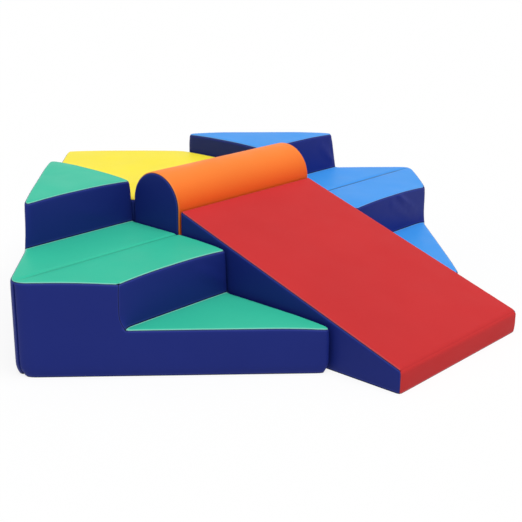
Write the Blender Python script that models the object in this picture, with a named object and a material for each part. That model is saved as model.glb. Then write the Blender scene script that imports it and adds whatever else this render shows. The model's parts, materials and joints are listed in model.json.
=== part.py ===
"""Soft play foam climber: two folding corner stairs, a corner platform, an arch bolster and a slide.

Metres, +Z up. X runs across the slide, with the green stair on the -X side, and +Y is uphill. The
origin is on the floor under the middle of the assembled set. Each module is a foam core in a sewn
vinyl cover with a zip, and the modules are joined side to side by hook and loop strips. Each stair is
two halves that share the seam across the middle tread, and the front half folds up and over on it.
"""

import math

import bmesh
import bpy
from mathutils import Matrix, Vector

# Stairs
STEP_RISE = 0.1524
STEP_RUN = 0.4572
MIDDLE_RUN = 0.4572
FOLD_GAP = 0.003
FOLD_AXIS_RISE = 0.002
NEST_GAP = 0.004

# Platform, arch and slide
PLATFORM_WIDTH = 0.6858
PLATFORM_HEIGHT = 0.381
ARCH_HEIGHT = 0.4953
ARCH_SEGMENTS = 14
SLIDE_LENGTH = 0.9144
SLIDE_HEAD_HEIGHT = 0.381
SLIDE_TOE_HEIGHT = 0.0762
SLIDE_SIDE_INSET = 0.006

# Covers
VINYL_THICKNESS = 0.0012
CORE_CLEARANCE = 0.0004
SEAM_GAP = 0.0006
HEM_LIFT = 0.0005
CROWN = 0.006
CROWN_RUN = 0.03
RING_SHARES = (0.0, 0.3, 0.65, 1.0)
NARROW_FACE_SHARE = 0.4
SEAT_GAP = 0.0003

# Fold hinge tapes
TAPE_THICKNESS = 0.001
TAPE_END_MARGIN = 0.06

# Hook and loop strips
STRIP_THICKNESS = 0.0016
STRIP_WIDTH = 0.05
SIDE_STRIP_LENGTH = 0.3
CROSS_STRIP_LENGTH = 0.4
STRIP_HEIGHT = 0.22
STRIP_CORNER = 0.012
CORNER_SEGMENTS = 4

# Zips
ZIP_WIDTH = 0.005
ZIP_THICKNESS = 0.0012
ZIP_RIDGE_WIDTH = 0.0026
ZIP_RIDGE_HEIGHT = 0.0004
ZIP_END_MARGIN = 0.09
ZIP_PLACE_SHARE = 0.6
ARCH_ZIP_HEIGHT = 0.01
SLIDER_LENGTH = 0.011
SLIDER_WALL = 0.0008
SLIDER_CLEARANCE = 0.0003
PULL_NECK_WIDTH = 0.002
PULL_NECK_LENGTH = 0.002
PULL_LENGTH = 0.016
PULL_WIDTH = 0.005
PULL_THICKNESS = 0.0005
PULL_STEP = 0.00015

# Sizes that follow from the ones above
MODULE_GAP = 2 * STRIP_THICKNESS + 3 * SEAT_GAP
FOLD_TO_RISER = MIDDLE_RUN / 2
FOLD_TO_TIP = FOLD_TO_RISER + STEP_RUN
MIDDLE_HEIGHT = 2 * STEP_RISE
HIGH_HEIGHT = 3 * STEP_RISE
ARCH_DEPTH = FOLD_TO_RISER - MODULE_GAP
ARCH_RADIUS = ARCH_DEPTH / 2
PLATFORM_TIP = FOLD_TO_TIP + PLATFORM_WIDTH / 2
PLATFORM_REACH = PLATFORM_TIP - CROWN * math.sqrt(2)
FOLD_Y = (SLIDE_LENGTH - PLATFORM_REACH) / 2
STAIR_X = PLATFORM_WIDTH / 2 + MODULE_GAP
FOLD_AXIS_HEIGHT = MIDDLE_HEIGHT + FOLD_AXIS_RISE
FIRST_RUN = CROWN_RUN * RING_SHARES[1]
FIRST_RISE = CROWN * (1 - (1 - RING_SHARES[1]) ** 2)
SEAM_TILT = math.atan2(FIRST_RISE, FIRST_RUN)
ZIP_TOP = SEAT_GAP + ZIP_THICKNESS + ZIP_RIDGE_HEIGHT

# Finishes, with linear colours
VINYL_ROUGHNESS = 0.42
CLOTH_ROUGHNESS = 0.9
METAL_ROUGHNESS = 0.35
METAL_COLOUR = (0.35, 0.35, 0.36)
SHARP_ANGLE = math.radians(30)
VINYL_COLOURS = {
    "green_vinyl": (0.0, 0.31, 0.17),
    "blue_vinyl": (0.03, 0.25, 0.76),
    "yellow_vinyl": (1.0, 0.8, 0.0),
    "orange_vinyl": (0.95, 0.2, 0.01),
    "red_vinyl": (0.6, 0.02, 0.025),
    "navy_vinyl": (0.012, 0.03, 0.2),
    "base_vinyl": (0.015, 0.02, 0.05),
}
PLAIN_COLOURS = {
    "foam": (0.72, 0.69, 0.6),
    "hook_tape": (0.01, 0.01, 0.015),
    "loop_tape": (0.02, 0.02, 0.03),
    "zip_tape": (0.01, 0.015, 0.05),
}


def clear_scene():
    for item in list(bpy.data.objects):
        bpy.data.objects.remove(item, do_unlink=True)


def make_material(name, colour, roughness, metallic=0.0):
    material = bpy.data.materials.new(name)
    material.use_nodes = True
    shader = material.node_tree.nodes["Principled BSDF"]
    shader.inputs["Base Color"].default_value = (*colour, 1.0)
    shader.inputs["Roughness"].default_value = roughness
    shader.inputs["Metallic"].default_value = metallic
    return material


def make_materials():
    made = {name: make_material(name, colour, VINYL_ROUGHNESS) for name, colour in VINYL_COLOURS.items()}
    for name, colour in PLAIN_COLOURS.items():
        made[name] = make_material(name, colour, CLOTH_ROUGHNESS)
    made["zip_metal"] = make_material("zip_metal", METAL_COLOUR, METAL_ROUGHNESS, metallic=1.0)
    return made


def add_pivot(name, place, parent=None):
    """An empty that a moving body hangs on, at its joint."""
    pivot = bpy.data.objects.new(name, None)
    pivot.parent = parent
    pivot.location = place - (parent.matrix_world.translation if parent else Vector())
    bpy.context.scene.collection.objects.link(pivot)
    bpy.context.view_layer.update()
    return pivot


def add_object(name, mesh, material, pivot, place=Vector(), turn=(0.0, 0.0, 0.0)):
    """An object of this mesh, whose own origin is at a place in the set's frame."""
    if not mesh.materials:
        mesh.materials.append(material)
    made = bpy.data.objects.new(name, mesh)
    made.parent = pivot
    made.location = place - pivot.matrix_world.translation
    made.rotation_euler = turn
    bpy.context.scene.collection.objects.link(made)
    return made


def finish_mesh(bm, name):
    """A mesh with its gentle bends smooth and its seams sharp."""
    mesh = bpy.data.meshes.new(name)
    bm.to_mesh(mesh)
    bm.free()
    mesh.shade_smooth()
    mesh.set_sharp_from_angle(angle=SHARP_ANGLE)
    return mesh


def crown_height(share):
    """How far a panel stands above its seam, at a share of the crown's run."""
    return 1 - (1 - share) ** 2


def bridge_rings(bm, outer, inner, outward):
    """Quads between two closed rings of as many points."""
    count = len(outer)
    for i in range(count):
        j = (i + 1) % count
        quad = [outer[i], outer[j], inner[j], inner[i]]
        bm.faces.new(quad if outward else quad[::-1])


def area_and_narrowness(points):
    """A flat loop's area as a vector, and about how wide it is at its narrowest."""
    area = Vector()
    perimeter = 0
    for i, point in enumerate(points):
        area += points[i - 1].cross(point) / 2
        perimeter += (point - points[i - 1]).length
    return area, 2 * area.length / perimeter


class PaddedBlock:
    """A foam block with flat faces, each drawn in at its seams and crowned over the rest.

    corners are the points where the faces' flat middles would meet, and faces maps a name to its loop
    of corners, anticlockwise seen from outside. Three faces meet at each corner. The base stays flat.
    """

    def __init__(self, corners, faces):
        self.corners = corners
        self.faces = faces
        self.normal = {}
        self.run = {}
        for name, loop in faces.items():
            area, narrowness = area_and_narrowness([corners[i] for i in loop])
            self.normal[name] = area.normalized()
            self.run[name] = min(CROWN_RUN, NARROW_FACE_SHARE * narrowness)

    def crown(self, name):
        return 0 if name == "base" else CROWN * self.run[name] / CROWN_RUN

    def seam_corner(self, index, inset, hem):
        """Where the seams meet at this corner, on the surface that lies this far inside the cover."""
        planes = [name for name, loop in self.faces.items() if index in loop]
        rows = Matrix([self.normal[name] for name in planes])
        sides = []
        for name in planes:
            depth = self.crown(name) + inset + (hem if name == "base" else 0)
            sides.append(self.normal[name].dot(self.corners[index]) - depth)
        return rows.inverted() @ Vector(sides)

    def ring(self, name, inset, hem, share, seam):
        """The loop that lies a share of the crown's run inside a face's seams."""
        seams = [self.seam_corner(i, inset, hem) for i in self.faces[name]]
        normal = self.normal[name]
        run = min(self.run[name], NARROW_FACE_SHARE * area_and_narrowness(seams)[1])
        step = max(run * share, seam)
        made = []
        for i, corner in enumerate(seams):
            before = (corner - seams[i - 1]).normalized()
            after = (seams[(i + 1) % len(seams)] - corner).normalized()
            inward_before = normal.cross(before)
            inward_after = normal.cross(after)
            reach = step / (1 + inward_before.dot(inward_after))
            raised = normal * self.crown(name) * crown_height(share)
            made.append(corner + (inward_before + inward_after) * reach + raised)
        return made

    def surface(self, bm, names, inset, outward, seam=0.0, hem=0.0):
        """Adds these faces to the mesh, and returns each one's points along its seams."""
        shared = {}
        edges = {}
        for name in names:
            rings = []
            for share in RING_SHARES:
                points = self.ring(name, inset, hem, share, seam)
                if share == 0 and seam == 0:
                    for index, point in zip(self.faces[name], points):
                        if index not in shared:
                            shared[index] = bm.verts.new(point)
                    rings.append([shared[index] for index in self.faces[name]])
                else:
                    rings.append([bm.verts.new(point) for point in points])
            for outer, inner in zip(rings, rings[1:]):
                bridge_rings(bm, outer, inner, outward)
            bm.faces.new(rings[-1] if outward else rings[-1][::-1])
            edges[name] = dict(zip(self.faces[name], rings[0]))
        return edges

    def core(self, name):
        bm = bmesh.new()
        self.surface(bm, self.faces, VINYL_THICKNESS + CORE_CLEARANCE, True)
        return finish_mesh(bm, name)

    def cover(self, name, names):
        """A vinyl panel over these faces. One face's panel stops just short of the seam."""
        seam = SEAM_GAP if len(names) == 1 else 0.0
        hem = 0.0 if "base" in names else HEM_LIFT
        bm = bmesh.new()
        outside = self.surface(bm, names, 0.0, True, seam, hem)
        inside = self.surface(bm, names, VINYL_THICKNESS, False, seam, hem)
        runs = []
        for face in names:
            loop = self.faces[face]
            runs += [(face, i, j) for i, j in zip(loop, loop[1:] + loop[:1])]
        used = {(i, j) for face, i, j in runs}
        for face, i, j in runs:
            if (j, i) not in used:
                bm.faces.new([outside[face][j], outside[face][i], inside[face][i], inside[face][j]])
        return finish_mesh(bm, name)


def stair_half(side, end):
    """Half a stair: its middle tread at the fold, then the high tread (end 1) or the low one (end -1).

    The plan is measured outwards from the slide's side and away from the fold, and then set on its
    side of the slide (side 1 or -1) and its end of the fold.
    """
    riser = FOLD_TO_RISER + end * NEST_GAP / 2
    far_height = HIGH_HEIGHT if end == 1 else STEP_RISE
    near = FOLD_GAP / 2
    plan = {
        "inner_fold": (0.0, near),
        "inner_riser": (0.0, riser),
        "tip": (0.0, FOLD_TO_TIP),
        "outer_fold": (FOLD_TO_TIP - near, near),
        "outer_riser": (FOLD_TO_TIP - riser, riser),
    }
    corners = []
    index = {}

    def at(place, height):
        if (place, height) not in index:
            across, along = plan[place]
            index[place, height] = len(corners)
            corners.append(Vector((side * across, end * along, height)))
        return index[place, height]

    low, mid, far = 0.0, MIDDLE_HEIGHT, far_height
    faces = {
        "base": [at("inner_fold", low), at("tip", low), at("outer_fold", low)],
        "middle": [
            at("inner_fold", mid),
            at("outer_fold", mid),
            at("outer_riser", mid),
            at("inner_riser", mid),
        ],
        "far": [at("inner_riser", far), at("outer_riser", far), at("tip", far)],
        "riser": [
            at("inner_riser", mid),
            at("outer_riser", mid),
            at("outer_riser", far),
            at("inner_riser", far),
        ],
        "inner": [
            at("tip", low),
            at("inner_fold", low),
            at("inner_fold", mid),
            at("inner_riser", mid),
            at("inner_riser", far),
            at("tip", far),
        ],
        "outer": [
            at("outer_fold", low),
            at("tip", low),
            at("tip", far),
            at("outer_riser", far),
            at("outer_riser", mid),
            at("outer_fold", mid),
        ],
        "fold": [at("inner_fold", low), at("outer_fold", low), at("outer_fold", mid), at("inner_fold", mid)],
    }
    if side * end < 0:
        faces = {name: loop[::-1] for name, loop in faces.items()}
    return PaddedBlock(corners, faces)


def prism(outline, height, side_names):
    """An upright block on an anticlockwise outline."""
    count = len(outline)
    corners = [Vector((x, y, 0.0)) for x, y in outline] + [Vector((x, y, height)) for x, y in outline]
    faces = {"base": list(range(count))[::-1], "top": list(range(count, 2 * count))}
    for i, name in enumerate(side_names):
        j = (i + 1) % count
        faces[name] = [i, j, count + j, count + i]
    return PaddedBlock(corners, faces)


def platform_block():
    half = PLATFORM_WIDTH / 2
    front = FOLD_TO_RISER + MODULE_GAP / 2
    outline = [(-half, front), (half, front), (half, FOLD_TO_TIP), (0.0, PLATFORM_TIP), (-half, FOLD_TO_TIP)]
    return prism(outline, PLATFORM_HEIGHT, ["front", "right", "back_right", "back_left", "left"])


def slide_block():
    half = PLATFORM_WIDTH / 2 - SLIDE_SIDE_INSET
    head = -MODULE_GAP / 2
    toe = -SLIDE_LENGTH
    outline = [(-half, toe), (half, toe), (half, head), (-half, head)]
    heights = [SLIDE_TOE_HEIGHT, SLIDE_TOE_HEIGHT, SLIDE_HEAD_HEIGHT, SLIDE_HEAD_HEIGHT]
    corners = [Vector((x, y, 0.0)) for x, y in outline]
    corners += [Vector((x, y, z)) for (x, y), z in zip(outline, heights)]
    faces = {
        "base": [3, 2, 1, 0],
        "top": [4, 5, 6, 7],
        "toe": [0, 1, 5, 4],
        "right": [1, 2, 6, 5],
        "head": [2, 3, 7, 6],
        "left": [3, 0, 4, 7],
    }
    return PaddedBlock(corners, faces)


def arch_section(inset, foot):
    """The arch's outline seen along X, from its foot at the back over the top to the front."""
    radius = ARCH_RADIUS - inset
    spring = ARCH_HEIGHT - ARCH_RADIUS
    points = [(radius, foot)]
    for i in range(ARCH_SEGMENTS + 1):
        angle = math.pi * i / ARCH_SEGMENTS
        points.append((radius * math.cos(angle), spring + radius * math.sin(angle)))
    points.append((-radius, foot))
    return points


def arch_wrap_surface(bm, inset, outward, foot):
    """The curved surface over the arch, drawn in towards its two ends. Returns its rows across Y."""
    reach = PLATFORM_WIDTH / 2 - CROWN - inset
    stations = [(-reach + CROWN_RUN * share, share) for share in RING_SHARES]
    stations += [(reach - CROWN_RUN * share, share) for share in RING_SHARES[::-1]]
    rows = []
    for x, share in stations:
        drawn_in = inset + CROWN * (1 - crown_height(share))
        rows.append([bm.verts.new((x, y, z)) for y, z in arch_section(drawn_in, foot)])
    for row, following in zip(rows, rows[1:]):
        for i in range(len(row) - 1):
            quad = [row[i], row[i + 1], following[i + 1], following[i]]
            bm.faces.new(quad[::-1] if outward else quad)
    return rows


def arch_end_surface(bm, side, inset, outward, foot, first=None, seam=0.0):
    """The crowned end of the arch on one side, inside the row of points first where that is given."""
    rings = [first] if first else []
    for share in RING_SHARES[len(rings):]:
        step = max(CROWN_RUN * share, seam)
        x = side * (PLATFORM_WIDTH / 2 - inset - CROWN * (1 - crown_height(share)))
        rings.append([bm.verts.new((x, y, z)) for y, z in arch_section(inset + CROWN + step, foot + step)])
    facing = outward if side == -1 else not outward
    for outer, inner in zip(rings, rings[1:]):
        bridge_rings(bm, outer, inner, not facing)
    bm.faces.new(rings[-1][::-1] if facing else rings[-1])
    return rings[0]


def arch_core(name):
    inset = VINYL_THICKNESS + CORE_CLEARANCE
    bm = bmesh.new()
    rows = arch_wrap_surface(bm, inset, True, inset)
    arch_end_surface(bm, -1, inset, True, inset, first=rows[0])
    arch_end_surface(bm, 1, inset, True, inset, first=rows[-1])
    back = [row[0] for row in rows]
    front = [row[-1] for row in rows]
    bm.faces.new(back + front[::-1])
    bmesh.ops.recalc_face_normals(bm, faces=bm.faces)
    return finish_mesh(bm, name)


def arch_wrap(name):
    bm = bmesh.new()
    outside = arch_wrap_surface(bm, 0.0, True, HEM_LIFT)
    inside = arch_wrap_surface(bm, VINYL_THICKNESS, False, HEM_LIFT + VINYL_THICKNESS)
    rims = [(outside[0], inside[0]), (outside[-1], inside[-1])]
    rims += [([row[k] for row in outside], [row[k] for row in inside]) for k in (0, -1)]
    for outer, inner in rims:
        for i in range(len(outer) - 1):
            bm.faces.new([outer[i], outer[i + 1], inner[i + 1], inner[i]])
    bmesh.ops.recalc_face_normals(bm, faces=bm.faces)
    return finish_mesh(bm, name)


def arch_end(name, side):
    bm = bmesh.new()
    outside = arch_end_surface(bm, side, 0.0, True, HEM_LIFT, seam=SEAM_GAP)
    inside = arch_end_surface(bm, side, VINYL_THICKNESS, False, HEM_LIFT + VINYL_THICKNESS, seam=SEAM_GAP)
    bridge_rings(bm, outside, inside, True)
    bmesh.ops.recalc_face_normals(bm, faces=bm.faces)
    return finish_mesh(bm, name)


def plate(name, outline, thickness):
    """A flat plate on an anticlockwise outline, from its own Z = 0 up."""
    bm = bmesh.new()
    lower = [bm.verts.new((x, y, 0.0)) for x, y in outline]
    upper = [bm.verts.new((x, y, thickness)) for x, y in outline]
    bm.faces.new(lower[::-1])
    bm.faces.new(upper)
    bridge_rings(bm, lower, upper, True)
    return finish_mesh(bm, name)


def extruded(name, section, length):
    """A bar of this closed section, seen along X, centred on its own origin."""
    bm = bmesh.new()
    ends = [[bm.verts.new((x, y, z)) for y, z in section] for x in (-length / 2, length / 2)]
    bridge_rings(bm, ends[0], ends[1], False)
    bm.faces.new(ends[0][::-1])
    bm.faces.new(ends[1])
    bmesh.ops.recalc_face_normals(bm, faces=bm.faces)
    return finish_mesh(bm, name)


def rounded_rectangle(length, width, corner):
    points = []
    for quarter, (sign_x, sign_y) in enumerate(((1, 1), (-1, 1), (-1, -1), (1, -1))):
        for i in range(CORNER_SEGMENTS + 1):
            angle = (quarter + i / CORNER_SEGMENTS) * math.pi / 2
            x = sign_x * (length / 2 - corner) + corner * math.cos(angle)
            y = sign_y * (width / 2 - corner) + corner * math.sin(angle)
            points.append((x, y))
    return points


def arch_base(name):
    half_width = PLATFORM_WIDTH / 2 - CROWN - SEAM_GAP
    half_depth = ARCH_RADIUS - CROWN - SEAM_GAP
    signs = ((-1, -1), (1, -1), (1, 1), (-1, 1))
    return plate(name, [(half_width * x, half_depth * y) for x, y in signs], VINYL_THICKNESS)


def zip_chain(name, length):
    """A closed zip: a flat tape with the raised row of its coil along the middle."""
    half_tape = ZIP_WIDTH / 2
    half_ridge = ZIP_RIDGE_WIDTH / 2
    top = SEAT_GAP + ZIP_THICKNESS
    section = [
        (-half_tape, SEAT_GAP),
        (half_tape, SEAT_GAP),
        (half_tape, top),
        (half_ridge, top),
        (half_ridge, ZIP_TOP),
        (-half_ridge, ZIP_TOP),
        (-half_ridge, top),
        (-half_tape, top),
    ]
    return extruded(name, section, length)


def joined(name, meshes):
    """One mesh that is the union of several overlapping ones."""
    parts = [bpy.data.objects.new(mesh.name, mesh) for mesh in meshes]
    for part in parts:
        bpy.context.scene.collection.objects.link(part)
    for part in parts[1:]:
        union = parts[0].modifiers.new("union", "BOOLEAN")
        union.operation = "UNION"
        union.object = part
    graph = bpy.context.evaluated_depsgraph_get()
    whole = bpy.data.meshes.new_from_object(parts[0].evaluated_get(graph))
    whole.name = name
    for part in parts:
        bpy.data.objects.remove(part, do_unlink=True)
    return whole


def slider_saddle():
    """The slider's body: an upturned channel over the zip."""
    outer = ZIP_WIDTH / 2 + SLIDER_CLEARANCE + SLIDER_WALL
    inner = outer - SLIDER_WALL
    roof = ZIP_TOP + SLIDER_CLEARANCE
    top = roof + SLIDER_WALL
    half = [(inner, roof), (inner, SEAT_GAP), (outer, SEAT_GAP), (outer, top)]
    return extruded("slider_saddle", half + [(-y, z) for y, z in half[::-1]], SLIDER_LENGTH)


def slider_pull():
    """The flat pull with its neck, rooted in the slider's roof."""
    root = SLIDER_LENGTH / 2 - SLIDER_WALL
    neck_end = SLIDER_LENGTH / 2 + PULL_NECK_LENGTH
    half = [(root, PULL_NECK_WIDTH / 2), (neck_end, PULL_NECK_WIDTH / 2), (neck_end, PULL_WIDTH / 2)]
    outline = [(x, -y) for x, y in half]
    round_centre = neck_end + PULL_LENGTH - PULL_WIDTH / 2
    for i in range(1, 2 * CORNER_SEGMENTS):
        angle = math.pi * (i / (2 * CORNER_SEGMENTS) - 1 / 2)
        outline.append((round_centre + PULL_WIDTH / 2 * math.cos(angle), PULL_WIDTH / 2 * math.sin(angle)))
    outline += half[::-1]
    mesh = plate("slider_pull", outline, PULL_THICKNESS)
    mesh.transform(Matrix.Translation((0, 0, ZIP_TOP + SLIDER_CLEARANCE + PULL_STEP)))
    return mesh


def zip_slider_mesh(name):
    return joined(name, [slider_saddle(), slider_pull()])


def add_zip(name, length, place, facing, tilt, body, materials):
    """A zip along X at a bottom seam of a face that faces +Y or -Y, and its slider parked at one end."""
    turn = (-facing * (math.pi / 2 + tilt), 0.0, 0.0)
    add_object(name + "_zip", zip_chain(name + "_zip", length), materials["zip_tape"], body, place, turn)
    park = place - Vector(((length - SLIDER_LENGTH) / 2, 0.0, 0.0))
    slider = name + "_zip_slider"
    pivot = add_pivot(slider + "_pivot", park, body)
    add_object(slider, zip_slider_mesh(slider), materials["zip_metal"], pivot, park, turn)


def seam_zip_place(x, face_y, facing):
    """The point on the drawn-in foot of a face where a zip's middle lies."""
    height = HEM_LIFT + FIRST_RUN * ZIP_PLACE_SHARE
    depth = CROWN - FIRST_RISE * ZIP_PLACE_SHARE
    return Vector((x, face_y - facing * depth, height))


def add_strip(name, kind, length, place, turn, body, materials):
    outline = rounded_rectangle(length, STRIP_WIDTH, STRIP_CORNER)
    mesh = plate(name, outline, STRIP_THICKNESS)
    add_object(name, mesh, materials[kind], body, place, turn)


def add_covers(prefix, block, panels, body, place, materials):
    """The foam core of a block and its cover's panels, given as name, faces and material."""
    add_object(prefix + "_foam_core", block.core(prefix + "_foam_core"), materials["foam"], body, place)
    for name, faces, material in panels:
        add_object(prefix + name, block.cover(prefix + name, faces), materials[material], body, place)


def fold_tape(name):
    """The hinge tape of a fold: sewn along the rear tread's drawn-in edge, and across to the front one's."""
    edge = Vector((FOLD_GAP / 2 + CROWN, MIDDLE_HEIGHT - CROWN))
    along = Vector((math.cos(SEAM_TILT), math.sin(SEAM_TILT)))
    across = Vector((-along.y, along.x))
    facet = math.hypot(FIRST_RUN, FIRST_RISE)
    section = []
    for offset in (SEAT_GAP, SEAT_GAP + TAPE_THICKNESS):
        sewn_end = edge + along * facet + across * offset
        bend = edge + (across + along * math.tan(SEAM_TILT / 2)) * offset
        free_end = Vector((SEAT_GAP - edge.x, bend.y))
        section.append([sewn_end, bend, free_end])
    return extruded(name, section[0] + section[1][::-1], FOLD_TO_TIP - 2 * TAPE_END_MARGIN)


def add_stair(colour, side, root, materials):
    """One stair: its rear half, joined to the platform, and its front half, hinged at the fold."""
    place = Vector((side * STAIR_X, FOLD_Y, 0.0))
    rear = add_pivot(colour + "_rear_body", place, root)
    front = add_pivot(colour + "_front_body", place + Vector((0.0, 0.0, FOLD_AXIS_HEIGHT)), rear)
    walls = ["riser", "inner", "outer", "fold"]
    vinyl = colour + "_vinyl"
    ends = (("rear", 1, "high", rear), ("front", -1, "low", front))
    for end_name, end, tread, body in ends:
        prefix = colour + "_" + end_name
        panels = [
            ("_side_cover", walls, "navy_vinyl"),
            ("_base_cover", ["base"], "base_vinyl"),
            ("_middle_tread", ["middle"], vinyl),
            ("_" + tread + "_tread", ["far"], vinyl),
        ]
        add_covers(prefix, stair_half(side, end), panels, body, place, materials)
        middle = seam_zip_place(place.x + side * FOLD_TO_TIP / 2, FOLD_Y + end * FOLD_GAP / 2, -end)
        add_zip(prefix, FOLD_TO_TIP - 2 * ZIP_END_MARGIN, middle, -end, SEAM_TILT, body, materials)
    tape = colour + "_fold_tape"
    tape_place = place + Vector((side * FOLD_TO_TIP / 2, 0.0, 0.0))
    add_object(tape, fold_tape(tape), materials["navy_vinyl"], rear, tape_place)
    strip_y = FOLD_Y + (FOLD_TO_RISER + FOLD_TO_TIP) / 2
    strip_x = side * (STAIR_X - SEAT_GAP)
    loop_name = colour + "_stair_loop_strip"
    loop_place = Vector((strip_x, strip_y, STRIP_HEIGHT))
    inward = (math.pi / 2, 0.0, -side * math.pi / 2)
    add_strip(loop_name, "loop_tape", SIDE_STRIP_LENGTH, loop_place, inward, rear, materials)
    hook_name = colour + "_side_hook_strip"
    hook_place = Vector((side * (PLATFORM_WIDTH / 2 + SEAT_GAP), strip_y, STRIP_HEIGHT))
    outward = (math.pi / 2, 0.0, side * math.pi / 2)
    add_strip(hook_name, "hook_tape", SIDE_STRIP_LENGTH, hook_place, outward, root, materials)


def add_platform(root, materials):
    place = Vector((0.0, FOLD_Y, 0.0))
    panels = [
        ("_side_cover", ["front", "right", "back_right", "back_left", "left"], "navy_vinyl"),
        ("_base_cover", ["base"], "base_vinyl"),
        ("_top_tread", ["top"], "yellow_vinyl"),
    ]
    add_covers("platform", platform_block(), panels, root, place, materials)
    front = FOLD_Y + FOLD_TO_RISER + MODULE_GAP / 2
    length = PLATFORM_WIDTH - 2 * ZIP_END_MARGIN
    add_zip("platform", length, seam_zip_place(0.0, front, -1), -1, SEAM_TILT, root, materials)
    hook_place = Vector((0.0, front - SEAT_GAP, STRIP_HEIGHT))
    turn = (math.pi / 2, 0.0, 0.0)
    add_strip("platform_hook_strip", "hook_tape", CROSS_STRIP_LENGTH, hook_place, turn, root, materials)


def add_arch(root, materials):
    centre = FOLD_Y + FOLD_TO_RISER / 2
    place = Vector((0.0, centre, 0.0))
    body = add_pivot("arch_body", place, root)
    add_object("arch_foam_core", arch_core("arch_foam_core"), materials["foam"], body, place)
    add_object("arch_top_cover", arch_wrap("arch_top_cover"), materials["orange_vinyl"], body, place)
    for name, side in (("arch_left_end", -1), ("arch_right_end", 1)):
        add_object(name, arch_end(name, side), materials["navy_vinyl"], body, place)
    add_object("arch_base_cover", arch_base("arch_base_cover"), materials["base_vinyl"], body, place)
    front = centre - ARCH_RADIUS
    back = centre + ARCH_RADIUS
    length = PLATFORM_WIDTH - 2 * ZIP_END_MARGIN
    add_zip("arch", length, Vector((0.0, front, ARCH_ZIP_HEIGHT)), -1, 0.0, body, materials)
    loop_place = Vector((0.0, back + SEAT_GAP, STRIP_HEIGHT))
    loop_turn = (math.pi / 2, 0.0, math.pi)
    add_strip("arch_loop_strip", "loop_tape", CROSS_STRIP_LENGTH, loop_place, loop_turn, body, materials)
    hook_place = Vector((0.0, front - SEAT_GAP, STRIP_HEIGHT))
    hook_turn = (math.pi / 2, 0.0, 0.0)
    add_strip("arch_hook_strip", "hook_tape", CROSS_STRIP_LENGTH, hook_place, hook_turn, body, materials)


def add_slide(root, materials):
    place = Vector((0.0, FOLD_Y, 0.0))
    body = add_pivot("slide_body", place, root)
    panels = [
        ("_top_cover", ["top", "toe"], "red_vinyl"),
        ("_left_side", ["left"], "navy_vinyl"),
        ("_right_side", ["right"], "navy_vinyl"),
        ("_head_cover", ["head"], "navy_vinyl"),
        ("_base_cover", ["base"], "base_vinyl"),
    ]
    add_covers("slide", slide_block(), panels, body, place, materials)
    head = FOLD_Y - MODULE_GAP / 2
    length = PLATFORM_WIDTH - 2 * ZIP_END_MARGIN
    add_zip("slide", length, seam_zip_place(0.0, head, 1), 1, SEAM_TILT, body, materials)
    loop_place = Vector((0.0, head + SEAT_GAP, STRIP_HEIGHT))
    turn = (math.pi / 2, 0.0, math.pi)
    add_strip("slide_loop_strip", "loop_tape", CROSS_STRIP_LENGTH, loop_place, turn, body, materials)


def main():
    clear_scene()
    materials = make_materials()
    root = add_pivot("climber", Vector())
    add_platform(root, materials)
    add_arch(root, materials)
    add_slide(root, materials)
    add_stair("green", -1, root, materials)
    add_stair("blue", 1, root, materials)


main()
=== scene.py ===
import json
import math

import bmesh
import bpy
import numpy as np
from mathutils import Matrix, Vector, geometry, noise


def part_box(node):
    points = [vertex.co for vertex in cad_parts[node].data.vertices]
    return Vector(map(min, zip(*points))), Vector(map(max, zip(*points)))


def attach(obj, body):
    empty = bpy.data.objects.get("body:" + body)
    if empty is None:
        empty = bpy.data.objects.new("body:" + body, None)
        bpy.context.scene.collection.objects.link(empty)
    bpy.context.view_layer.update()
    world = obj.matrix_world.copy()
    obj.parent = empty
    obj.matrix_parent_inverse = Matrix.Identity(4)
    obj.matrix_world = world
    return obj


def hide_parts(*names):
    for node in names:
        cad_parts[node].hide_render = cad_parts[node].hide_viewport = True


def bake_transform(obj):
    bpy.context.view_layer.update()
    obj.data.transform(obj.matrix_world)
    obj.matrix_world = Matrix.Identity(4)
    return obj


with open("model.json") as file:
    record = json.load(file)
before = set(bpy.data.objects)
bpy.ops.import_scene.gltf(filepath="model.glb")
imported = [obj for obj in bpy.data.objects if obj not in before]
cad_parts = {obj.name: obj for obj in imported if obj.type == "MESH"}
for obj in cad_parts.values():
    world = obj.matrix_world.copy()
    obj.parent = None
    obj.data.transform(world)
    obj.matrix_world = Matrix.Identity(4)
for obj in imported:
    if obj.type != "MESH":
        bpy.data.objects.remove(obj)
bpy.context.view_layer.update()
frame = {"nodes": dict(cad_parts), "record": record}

# Camera, fitted to the photograph
IMAGE_WIDTH = 522
FOCAL_PIXELS = 1047.4
SENSOR_WIDTH = 36.0
CAMERA_PLACE = (-2.677, -2.516, 1.323)
CAMERA_YAW = math.radians(-48.15)
CAMERA_PITCH = math.radians(-18.24)
CAMERA_ROLL = math.radians(0.46)

# Covers, in metres, with scales per metre for their noise
EDGE_RADIUS = 0.010
SLOPE_RADIUS = 0.014
SLAB_REACH = 4 * SLOPE_RADIUS
SEAM_PINCH = 0.0014
SEAM_PINCH_RUN = 0.0018
UPRIGHT_SEAM_SCALE = 2.5
HEM_DRAW = 0.0068
HEM_RUN = 0.03
HEM_LIFT = 0.0005
FOOT_DRAW = 0.015
FOOT_RUN = 0.045
FOOT_REACH = 0.07
SLIDE_FOOT_DRAW = 0.001
SLIDE_HEM_DRAW = 0.002
PUCKER_DEPTH = 0.0005
PUCKER_RUN = 0.012
PUCKER_START = 0.004
PUCKER_SCALE = 70.0
VINYL_THICKNESS = 0.0012
FOAM_INSET = 0.007
ACUTE_RADIUS = 0.015
SQUARE_RADIUS = 0.012
BLUNT_RADIUS = 0.02
SLIDE_CORNER_RADIUS = 0.006
APEX_RETREAT = 0.021
APEX_NOTCH = 0.003
CORNER_DROP = 0.008
CORNER_DROP_REACH = 0.20
CORNER_PULL = 0.005
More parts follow.
